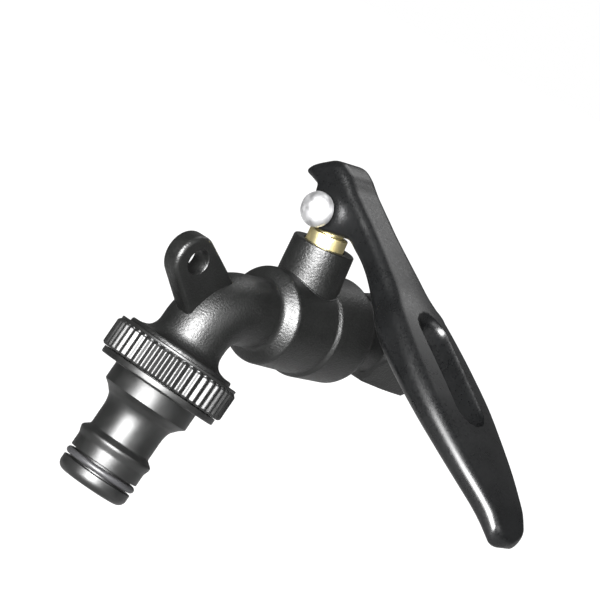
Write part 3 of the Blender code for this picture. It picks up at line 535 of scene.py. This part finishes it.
# Each row: the top line's y and z, the under line's y and z, and half the width
LEVER_ROWS = [
    (-8.45, 5.95, -8.45, 5.75, 4.80), (-8.28, 6.40, -8.24, 5.28, 5.00),
    (-7.65, 7.42, -7.55, 4.90, 5.12), (-6.00, 8.80, -6.20, 4.55, CHEEK),
    (-3.80, 10.20, -4.60, 3.80, CHEEK), (-1.20, 10.50, -4.15, 1.60, CHEEK),
    (1.20, 9.55, -3.85, -1.00, CHEEK), (3.00, 8.30, -2.55, -3.05, CHEEK),
    (4.80, 7.00, 0.50, -3.98, CHEEK), (6.60, 5.90, 3.40, -3.55, CHEEK),
    (8.40, 4.80, 6.40, -3.00, CHEEK), (10.40, 3.60, 8.80, -2.70, CHEEK),
    (13.40, 1.80, 11.00, -3.70, CHEEK), (17.50, -0.65, 14.80, -5.65, 5.50),
    (22.00, -3.45, 18.60, -8.35, 6.10), (26.50, -6.30, 22.70, -12.15, 6.80),
    (32.00, -9.80, 27.90, -16.25, 8.90), (40.00, -14.80, 36.40, -20.75, 10.30),
    (48.00, -19.70, 44.90, -24.75, 10.50), (55.00, -24.10, 52.30, -28.45, 9.60),
    (61.00, -27.80, 58.50, -31.75, 8.35), (66.00, -30.90, 63.60, -34.75, 6.85),
    (68.70, -32.70, 66.80, -36.95, 6.00), (70.70, -34.70, 69.70, -39.30, 5.20),
]


def make_lever():
    """Loft of rounded, crowned sections between a top line and an under line, rounder underneath
    towards the tip. Each end closes in part of an ellipse: rows shrink with the cosine and step
    on with the sine."""
    rows = flowing(LEVER_ROWS, 9)
    top_y, top_z, low_y, low_z, half = (rows[:, k, None] for k in range(5))
    height = np.hypot(top_y - low_y, top_z - low_z)
    up_y, up_z = (top_y - low_y) / height, (top_z - low_z) / height
    share = np.clip((half - CHEEK) / PADDLE_SPREAD, 0, 1)
    top_round = np.minimum(2.3 + 0.5 * share, 0.42 * height)
    near_tip = np.clip((top_y - 60.0) / 8.0, 0, 1)
    low_round = np.minimum(1.3 + 2.2 * share + 1.1 * near_tip, 0.5 * height)
    corner = np.linspace(0, np.pi / 2, 12)
    wide, tall = np.sin(corner), np.cos(corner)
    right_low = (half - low_round + low_round * wide, low_round - low_round * tall)
    right_top = (half - top_round + top_round * tall, height - top_round + top_round * wide)
    level = np.linspace(1, -1, 17)[1:-1]
    across_top = ((half - top_round) * level, height + 0 * level)
    across_low = ((half - low_round) * -level[::2], 0 * height + 0 * level[::2])
    x = np.concatenate([right_low[0], right_top[0], across_top[0], -right_top[0][:, ::-1],
                        -right_low[0][:, ::-1], across_low[0]], 1)
    v = np.concatenate([right_low[1], right_top[1], across_top[1], right_top[1][:, ::-1],
                        right_low[1][:, ::-1], across_low[1]], 1)
    crown_height = 1.3
    crown = crown_height * share * (1 - (x / half) ** 2) * np.clip(v / height, 0, 1)
    grid = np.stack([STEM_X + x, low_y + up_y * (v + crown),
                     PIVOT_Z + low_z + up_z * (v + crown)], -1)
    first_lean, beak_reach, tip_reach, pole = 0.22, 0.0, 2.9, 0.04
    lean = np.linspace(first_lean, np.pi / 2, 12)[1:, None, None]
    ends = []
    for row, inner, reach in ((grid[0], grid[1], beak_reach), (grid[-1], grid[-2], tip_reach)):
        middle = row.mean(0)
        outward = middle - inner.mean(0)
        outward /= np.linalg.norm(outward)
        scale = np.maximum(np.cos(lean) / math.cos(first_lean), pole)
        ends.append(middle + (row - middle) * scale
                    + outward * reach * (np.sin(lean) - math.sin(first_lean)))
    return shell("lever_casting", np.concatenate([ends[0][::-1], grid, ends[1]]))


def make_fork_space():
    """Cutter for the fork: a slab the width of the gap, its upper end half round."""
    reach, half_gap, below = 5.4, 2.2, -14.0
    side = np.linspace(-np.pi / 2, np.pi / 2, 15)
    outline = np.concatenate([[(-reach, below), (reach, below), (reach, 0.0)],
                              np.stack([reach * np.cos(side[7:]), reach * np.sin(side[7:])], 1),
                              np.stack([-reach * np.cos(side[7:-1][::-1]),
                                        reach * np.sin(side[7:-1][::-1])], 1), [(-reach, 0.0)]])
    grid = np.stack([np.stack([0 * outline[:, 0] + STEM_X + x, outline[:, 0],
                               PIVOT_Z + outline[:, 1]], -1)
                     for x in (-half_gap, half_gap)])
    return shell("fork_form", grid)


def make_slot_form():
    """Cutter for the padlock slot: a round-ended outline, drawn in at a parting line and flared
    at both faces of the paddle. Its upper end leans back in a quarter round, which rolls the
    slot's upper lip over."""
    length, half = 26.7, 4.2
    straight = length / 2 - half
    angle = np.linspace(0, np.pi, 24)
    level = np.array([-12.0, -8.4, -7.8, -4.4, -4.1, -3.5, -3.1, -0.8, -0.4, -0.05, 0.25, 0.5, 0.7,
                      0.85, 1.0, 6.0])
    grow = np.array([1.0, 0.4, 0.1, 0.0, -0.22, -0.22, 0.0, 0.0, 0.0, 0.0, 0.02, 0.05, 0.09, 0.14,
                     0.2, 0.6])
    lean = np.array([0.0, 0.0, 0.0, 0.0, 0.0, 0.0, -1.6, -1.6, -1.53, -1.36, -1.1, -0.8, -0.5,
                     -0.2, 0.1, 0.4])
    rings = []
    for n, extra, back in zip(level, grow, lean):
        radius = half + extra
        far = np.stack([radius * np.cos(angle), straight + radius * np.sin(angle)], 1)
        ring = np.concatenate([far, -far - np.array([0.0, back])])
        rings.append(np.stack([ring[:, 0], ring[:, 1], 0 * ring[:, 0] + n], 1))
    grid = np.stack(rings)
    slope, middle_y, middle_z = math.radians(-31.8), 41.7, PIVOT_Z - 15.9
    y = grid[..., 1] * math.cos(slope) - grid[..., 2] * math.sin(slope)
    z = grid[..., 1] * math.sin(slope) + grid[..., 2] * math.cos(slope)
    return shell("slot_form", np.stack([STEM_X + grid[..., 0], middle_y + y, middle_z + z], -1))


lever = make_lever()
carve(lever, make_fork_space(), "DIFFERENCE")
carve(lever, cross_hole("cheek_hole_form", -7.0, 7.0, 2.08), "DIFFERENCE")
carve(lever, make_slot_form(), "DIFFERENCE")
lever_coating = cast_black("lever_black_coating", (0.0014, 0.0015, 0.0016), 0.003, 0.31)
dress(lever, "lever", lever_coating, sharp=44)

# Cross bolt
# The lever hinges on a plated hexagon bolt with a split spring washer under its head. A domed
# nut with a satin plating closes its front end.


def make_bolt():
    """Turned outline about the cross bolt's axis, held inside a hexagon: at each angle the radius
    is the lesser of the outline's and the flat's distance over the cosine of the slant."""
    outline = soften([(-9.5, 0.4, 0), (-9.5, 3.2, 0.1), (-9.25, 3.7, 0.1), (-6.75, 4.0, 0),
                      (-6.7, 3.5, 0), (-6.7, 1.95, 0), (7.4, 1.95, 0.3), (7.7, 1.6, 0),
                      (7.7, 0.3, 0)])
    across_flats = 7.0
    angle = np.linspace(0, 2 * np.pi, 120, endpoint=False)
    x, radius = outline[:, :1], outline[:, 1:]
    reach = np.minimum(radius, across_flats / 2 / np.cos(hex_slant(angle)))
    return shell("cross_bolt", np.stack([STEM_X + x + 0 * angle, reach * np.cos(angle),
                                         PIVOT_Z + reach * np.sin(angle)], -1))


def make_nut():
    """Turned nut: a short drum under a dome, an ellipse of its own height and radius."""
    dome_x, dome_height, dome_r = 7.2, 2.75, 3.75
    lean = np.linspace(0, np.pi / 2, 26)[:-1]
    made = shell("domed_nut", across_grid(np.concatenate([
        [(5.5, 1.0), (5.5, 3.1), (5.8, 3.38), (6.2, 3.58), (6.7, 3.7)],
        np.stack([dome_x + dome_height * np.sin(lean), dome_r * np.cos(lean)], 1)]), 120))
    carve(made, cross_hole("nut_bore_form", 5.0, 8.0, 2.2), "DIFFERENCE")
    return made


def make_spring_washer():
    """Square wire bent round once: a section carried round nearly a full turn, with a gap between
    its two cut ends."""
    half_gap = 0.11
    turn = np.linspace(half_gap, 2 * np.pi - half_gap, 64) + math.pi / 2
    section = soften([(0.0, 2.6, 0), (0.0, 2.22, 0.12), (0.84, 2.22, 0.12), (0.84, 3.58, 0.12),
                      (0.0, 3.58, 0.12), (0.0, 2.6, 0)], 3)[:-1]
    depth, radius = section[:, 0], section[:, 1]
    x = STEM_X - 5.52 - depth[None] + 0 * turn[:, None]
    return shell("split_washer", np.stack([
        x, radius * np.cos(turn)[:, None], PIVOT_Z + radius * np.sin(turn)[:, None]], -1))


def polished_finish():
    """Bright plating under a fine haze that dulls it in places."""
    paint = Paint("polished_plating", 0.3, 1.0)
    haze = paint.noise(1.1, 3.0)
    paint.feed("Base Color", paint.colour(haze, (0.9, 0.9, 0.9), (0.82, 0.82, 0.83)))
    paint.feed("Roughness", paint.spread(haze, 0.35, 0.7, 0.26, 0.36))
    paint.feed("Normal", paint.relief(haze, 0.006, 0.5))
    return paint


plated = polished_finish()
pearl = plain_finish("satin_plating", (0.72, 0.72, 0.73), 0.46, 1.0, 1.4, 0.01)
dress(make_nut(), "dome_nut", pearl, sharp=24)
dress(make_bolt(), "pivot_bolt", plated, sharp=24)
dress(make_spring_washer(), "spring_washer", plated)

# Hose nipple
# A turned metal nipple screws on the outlet: a flange, a hub that sweeps in to a waist, a ridge
# that a hose coupling latches on, an O-ring in its groove, and a rounded nose.

NIPPLE_TOP = np.array([BEND_CORNER_X + OUTLET_DROP * math.sin(OUTLET_TILT), 0.0,
                       -OUTLET_DROP * math.cos(OUTLET_TILT)])


def down_outlet(grid):
    """Turn a grid made about local Z, station down the leg first, onto the outlet's axis."""
    sine, cosine = math.sin(OUTLET_TILT), math.cos(OUTLET_TILT)
    x, y, t = grid[..., 0], grid[..., 1], grid[..., 2]
    return NIPPLE_TOP + np.stack([x * cosine + t * sine, y, x * sine - t * cosine], -1)


def turned_black(name, gloss):
    """Dark coated turning: rings from the lathe show as faint lines round the outlet's axis."""
    paint = Paint(name, gloss, 0.0, IOR=1.5)
    turned = paint.out(paint.node("ShaderNodeMapping", None, {
        "Vector": paint.place, "Rotation": (0.0, OUTLET_TILT, 0.0)}))
    rings = paint.noise(0.16, 2.0, stretch=(0.03, 0.03, 1.0), place=turned)
    patches = paint.noise(3.0, 2.0)
    paint.feed("Base Color", paint.colour(patches, (0.0018, 0.0019, 0.0018),
                                          (0.003, 0.0031, 0.003)))
    paint.feed("Roughness", paint.spread(patches, 0.3, 0.7, gloss - 0.03, gloss + 0.05))
    paint.feed("Normal", paint.relief(rings, 0.006, 0.5))
    return paint


def make_nipple():
    """Turned outline in one loop: the outside from flange to nose, where the hub sweeps in along a
    curve and the nose ends in a quarter circle, and then the bore and the thread's root."""
    sleeve, flange, hub_r, waist, bore = 11.85, 13.35, 9.64, 6.88, 5.0
    nose_x, nose_start, nose_round = 29.5, 6.15, 1.7
    lean = np.linspace(0, np.pi / 2, 9)
    return shell("turned_nipple", down_outlet(ring_grid(np.concatenate([
        soften([(0.4, 10.75, 0), (0.4, sleeve, 0.2), (5.98, sleeve, 0), (5.98, flange, 0.15),
                (7.35, flange, 0.35), (7.35, hub_r, 0.35), (11.0, hub_r, 0)]),
        flowing([(11.15, hub_r), (11.4, 9.38), (11.75, 8.92), (12.2, 8.4), (12.8, 7.88),
                 (13.4, 7.4), (14.4, 7.06), (15.6, 6.9), (16.6, waist)], 5),
        soften([(17.0, waist, 0), (20.3, waist, 0.25), (21.35, 8.2, 0.3), (21.95, 8.23, 0.3),
                (23.2, 7.78, 0.3), (25.95, 7.78, 0.18), (25.95, 6.6, 0.1), (28.2, 6.6, 0.1),
                (28.2, 7.85, 0.18), (29.3, 7.85, 0)]),
        np.stack([nose_x + nose_round * np.sin(lean), nose_start + nose_round * np.cos(lean)], 1),
        soften([(31.2, 6.0, 0), (31.2, bore, 0.25), (6.8, bore, 0.1), (6.8, 10.7, 0.1),
                (0.6, 10.75, 0)]),
    ]), 160)), looped=True)


nipple_black = turned_black("turned_black_coating", 0.4)
dress(make_nipple(), "hose_nipple", nipple_black, sharp=30)

wire = np.linspace(0, 2 * np.pi, 20, endpoint=False)
o_ring = np.stack([27.08 + 0.7 * np.sin(wire), 7.36 + 0.66 * np.cos(wire)], 1)
dress(shell("nipple_seal", down_outlet(ring_grid(o_ring, 120)), looped=True), "nipple_o_ring",
      seal_rubber)

# Grip ring
# A ribbed ring round the nipple's sleeve, for the fingers. Its ribs are milled straight and
# rounded over, and a plain lip above them hides the rim of the spout.


def make_grip_ring():
    """Turned outline whose radius swings between ribs and grooves by a cosine of the angle; the
    grooves fade out at both ends of the ribs."""
    rows = soften([(5.85, 12.1, 0), (5.85, 13.75, 0.2), (5.45, 14.2, 0.2), (5.1, 14.2, 0),
                   (0.2, 14.2, 0.15), (-0.3, 13.75, 0.1), (-0.42, 13.6, 0.04), (-0.47, 13.7, 0.04),
                   (-1.0, 13.7, 0.25), (-1.0, 12.3, 0.15), (0.4, 12.3, 0), (0.4, 12.1, 0)], 4)
    t, radius = rows[:, :1], rows[:, 1:]
    rib_count, rib_depth = 48, 0.56
    angle = np.linspace(0, 2 * np.pi, rib_count * 12, endpoint=False)
    groove = 0.5 + 0.5 * np.cos(rib_count * angle)
    ribbed = np.clip((t + 0.38) / 0.25, 0, 1) * np.clip((radius - 13.0) / 0.6, 0, 1)
    reach = radius - rib_depth * groove * ribbed
    return shell("ribbed_ring", down_outlet(np.stack([
        reach * np.cos(angle), reach * np.sin(angle), t + 0 * angle], -1)), looped=True)


dress(make_grip_ring(), "grip_ring", nipple_black, sharp=46)

# Studio
# A pale floor well below the tap, which hangs from its wall thread, soft lamps, and a white
# surround. The camera stands at the photograph's angle.

AZIMUTH, ELEVATION, ROLL = (math.radians(angle) for angle in (128.734, 9.478, 24.717))
AIM = Vector((36.27, -0.37, 4.78)) * MM
DISTANCE = 507.69 * MM
FOCAL_SHARE = 2431.76 / 600


def camera_turn():
    """Rotation whose columns are the picture's right, its up, and the way back to the camera."""
    back = Vector((math.sin(AZIMUTH) * math.cos(ELEVATION),
                   -math.cos(AZIMUTH) * math.cos(ELEVATION), math.sin(ELEVATION)))
    right = Vector((math.cos(AZIMUTH), math.sin(AZIMUTH), 0.0))
    up = back.cross(right)
    level = Matrix((right, up, back)).transposed()
    return level @ Matrix.Rotation(ROLL, 3, "Z")


turn = camera_turn()
camera_data = bpy.data.cameras.new("view")
camera_data.lens = FOCAL_SHARE * camera_data.sensor_width
camera_data.clip_start = 0.01
camera = bpy.data.objects.new("view", camera_data)
camera.matrix_world = Matrix.Translation(AIM + turn @ Vector((0, 0, DISTANCE))) @ turn.to_4x4()
bpy.context.scene.collection.objects.link(camera)
bpy.context.scene.camera = camera


def lamp(name, across, up, back, width, height, power, spread=180.0):
    """Soft rectangular lamp aimed at the tap, placed by the picture's own directions."""
    data = bpy.data.lights.new(name, "AREA")
    data.shape, data.size, data.size_y, data.energy = "RECTANGLE", width, height, power
    data.spread = math.radians(spread)
    made = bpy.data.objects.new(name, data)
    place = AIM + turn @ Vector((across, up, back))
    facing = (place - AIM).to_track_quat("Z", "Y").to_matrix().to_4x4()
    made.matrix_world = Matrix.Translation(place) @ facing
    bpy.context.scene.collection.objects.link(made)


lamp("front softbox", -0.05, 0.1, 0.64, 0.6, 0.5, 9.0, 60.0)
lamp("right softbox", 0.5, -0.08, 0.42, 0.26, 0.34, 1.1)
lamp("overhead softbox", 0.35, 0.5, -0.25, 0.3, 0.5, 1.3)


def seen_white(tree, lit, white, share):
    """Mix a lit shader with plain white by the given share of what the camera sees directly."""
    path = tree.nodes.new("ShaderNodeLightPath")
    part = tree.nodes.new("ShaderNodeMath")
    part.operation = "MULTIPLY"
    part.inputs[1].default_value = share
    mix = tree.nodes.new("ShaderNodeMixShader")
    tree.links.new(path.outputs["Is Camera Ray"], part.inputs[0])
    tree.links.new(part.outputs[0], mix.inputs[0])
    tree.links.new(lit.outputs[0], mix.inputs[1])
    tree.links.new(white.outputs[0], mix.inputs[2])
    return mix


world = bpy.data.worlds.new("white_room")
world.use_nodes = True
bpy.context.scene.world = world
air = world.node_tree
room = air.nodes["Background"]
room.inputs["Color"].default_value = (1.0, 1.0, 1.0, 1.0)
room.inputs["Strength"].default_value = 0.15
backdrop = air.nodes.new("ShaderNodeBackground")
backdrop.inputs["Color"].default_value = (1.0, 1.0, 1.0, 1.0)
air.links.new(seen_white(air, room, backdrop, 1.0).outputs[0],
              air.nodes["World Output"].inputs["Surface"])

floor_mesh = bpy.data.meshes.new("floor")
FLOOR_HALF, FLOOR_Z = 3, -0.11
floor_mesh.from_pydata([(FLOOR_HALF * x, FLOOR_HALF * y, FLOOR_Z)
                        for x, y in ((-1, -1), (1, -1), (1, 1), (-1, 1))], [], [(0, 1, 2, 3)])
floor = bpy.data.objects.new("floor", floor_mesh)
bpy.context.scene.collection.objects.link(floor)
pale = bpy.data.materials.new("pale_floor")
pale.use_nodes = True
ground = pale.node_tree
matt = ground.nodes["Principled BSDF"]
matt.inputs["Base Color"].default_value = (0.23, 0.23, 0.23, 1.0)
matt.inputs["Roughness"].default_value = 0.9
glow = ground.nodes.new("ShaderNodeEmission")
glow.inputs["Color"].default_value = (1.0, 1.0, 1.0, 1.0)
glow.inputs["Strength"].default_value = 1.46
ground.links.new(seen_white(ground, matt, glow, 0.75).outputs[0],
                 ground.nodes["Material Output"].inputs["Surface"])
floor_mesh.materials.append(pale)

bpy.context.scene.view_settings.view_transform = "Standard"
